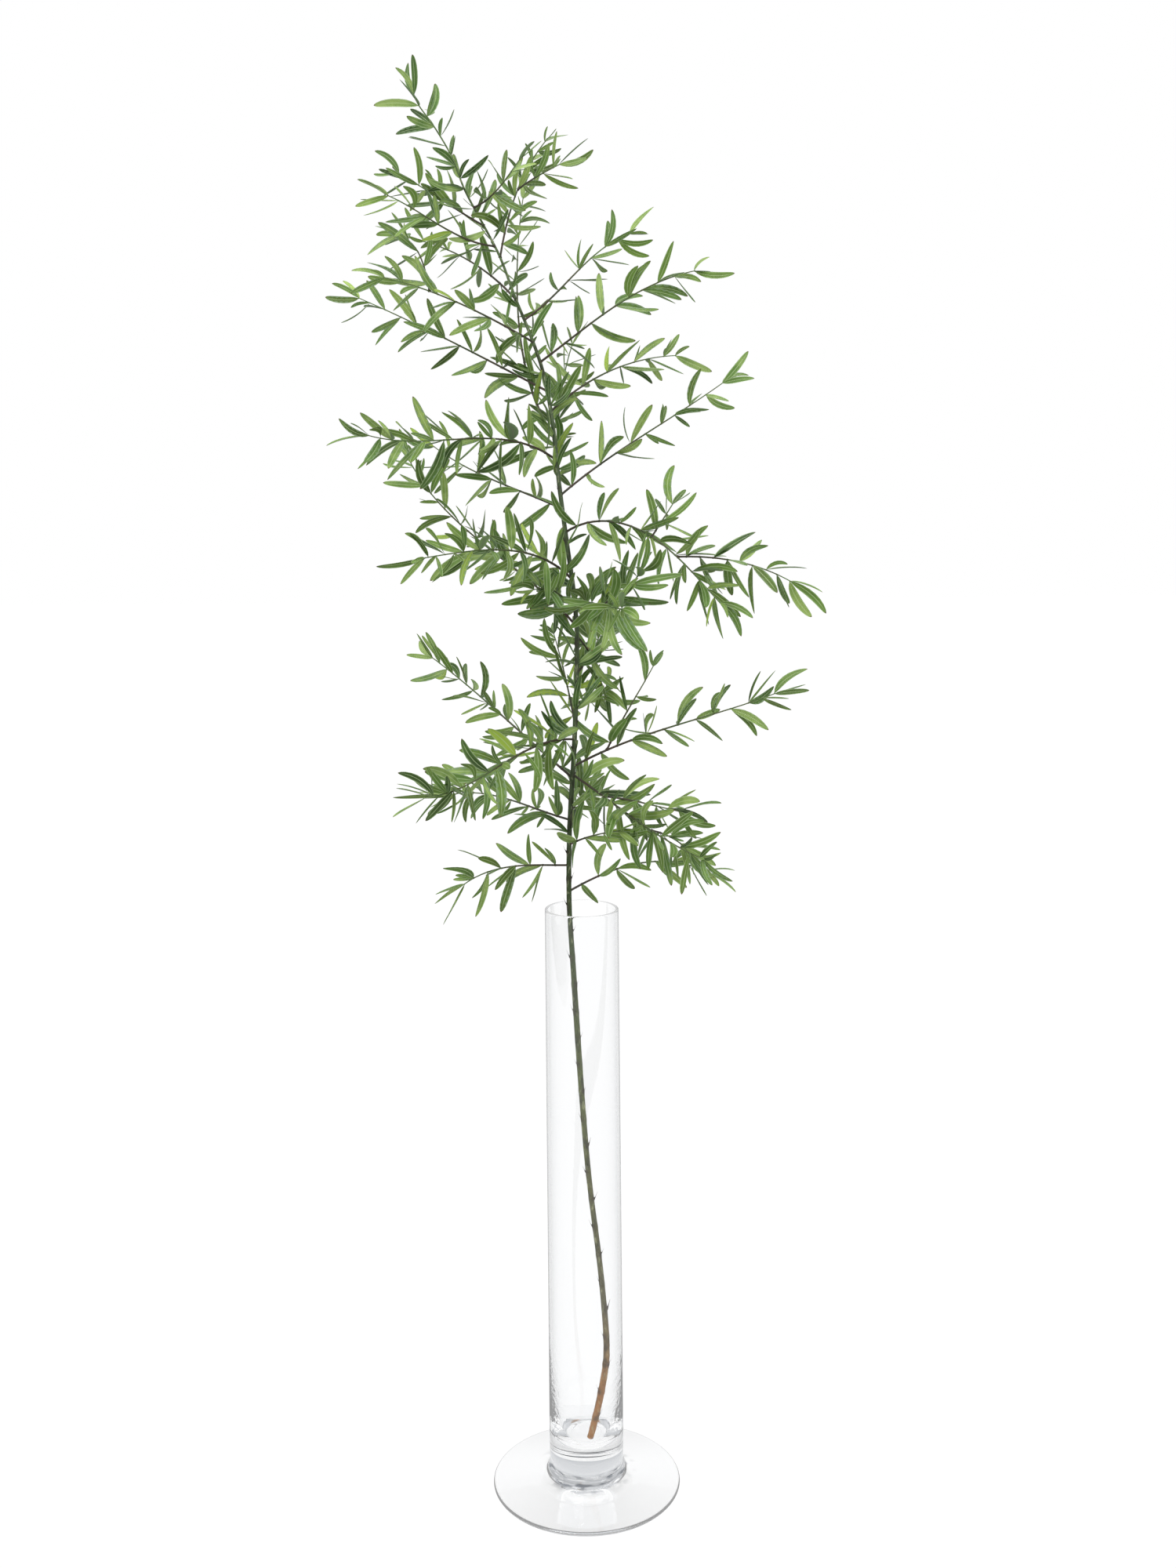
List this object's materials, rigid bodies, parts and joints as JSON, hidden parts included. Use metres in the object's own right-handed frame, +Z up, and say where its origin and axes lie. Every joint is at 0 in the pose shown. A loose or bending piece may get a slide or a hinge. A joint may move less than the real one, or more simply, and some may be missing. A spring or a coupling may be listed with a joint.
{
  "type": "asparagus fern stem in a glass vase",
  "caption": "Cut stem of asparagus foliage with slender arching fronds of narrow sickle-shaped leaves, held upright by a tall footed cylinder vase of clear glass.",
  "frame": {"origin": "centre of the vase's flat underside, on the surface it stands on", "axes": "+Z up along the vase and the stem, -Y the front as pictured, +X to the right of the front view"},
  "size_m": [0.4444, 0.3137, 1.2463],
  "materials": {
    "vase_glass": "polished clear",
    "stem_bark": "satin, living green bark that is brown and dry at the cut",
    "foliage": "satin leaf surface"
  },
  "bodies": {
    "root": {"vase": "vase_glass", "main_stem": "stem_bark", "leader_right": "foliage", "spray_top": "foliage", "frond_left_01": "foliage", "frond_left_02": "foliage", "frond_left_03": "foliage", "frond_left_04": "foliage", "frond_left_05": "foliage", "frond_left_06": "foliage", "frond_left_07": "foliage", "frond_left_08": "foliage", "frond_left_09": "foliage", "frond_left_10": "foliage", "frond_left_11": "foliage", "frond_left_12": "foliage", "frond_left_13": "foliage", "frond_left_14": "foliage", "frond_left_15": "foliage", "frond_left_16": "foliage", "frond_right_01": "foliage", "frond_right_02": "foliage", "frond_right_03": "foliage", "frond_right_04": "foliage", "frond_right_05": "foliage", "frond_right_06": "foliage", "frond_right_07": "foliage", "frond_right_08": "foliage", "frond_right_09": "foliage", "frond_right_10": "foliage", "frond_right_11": "foliage", "frond_right_12": "foliage", "frond_right_13": "foliage", "frond_right_14": "foliage", "frond_right_15": "foliage"}
  },
  "joints": []
}
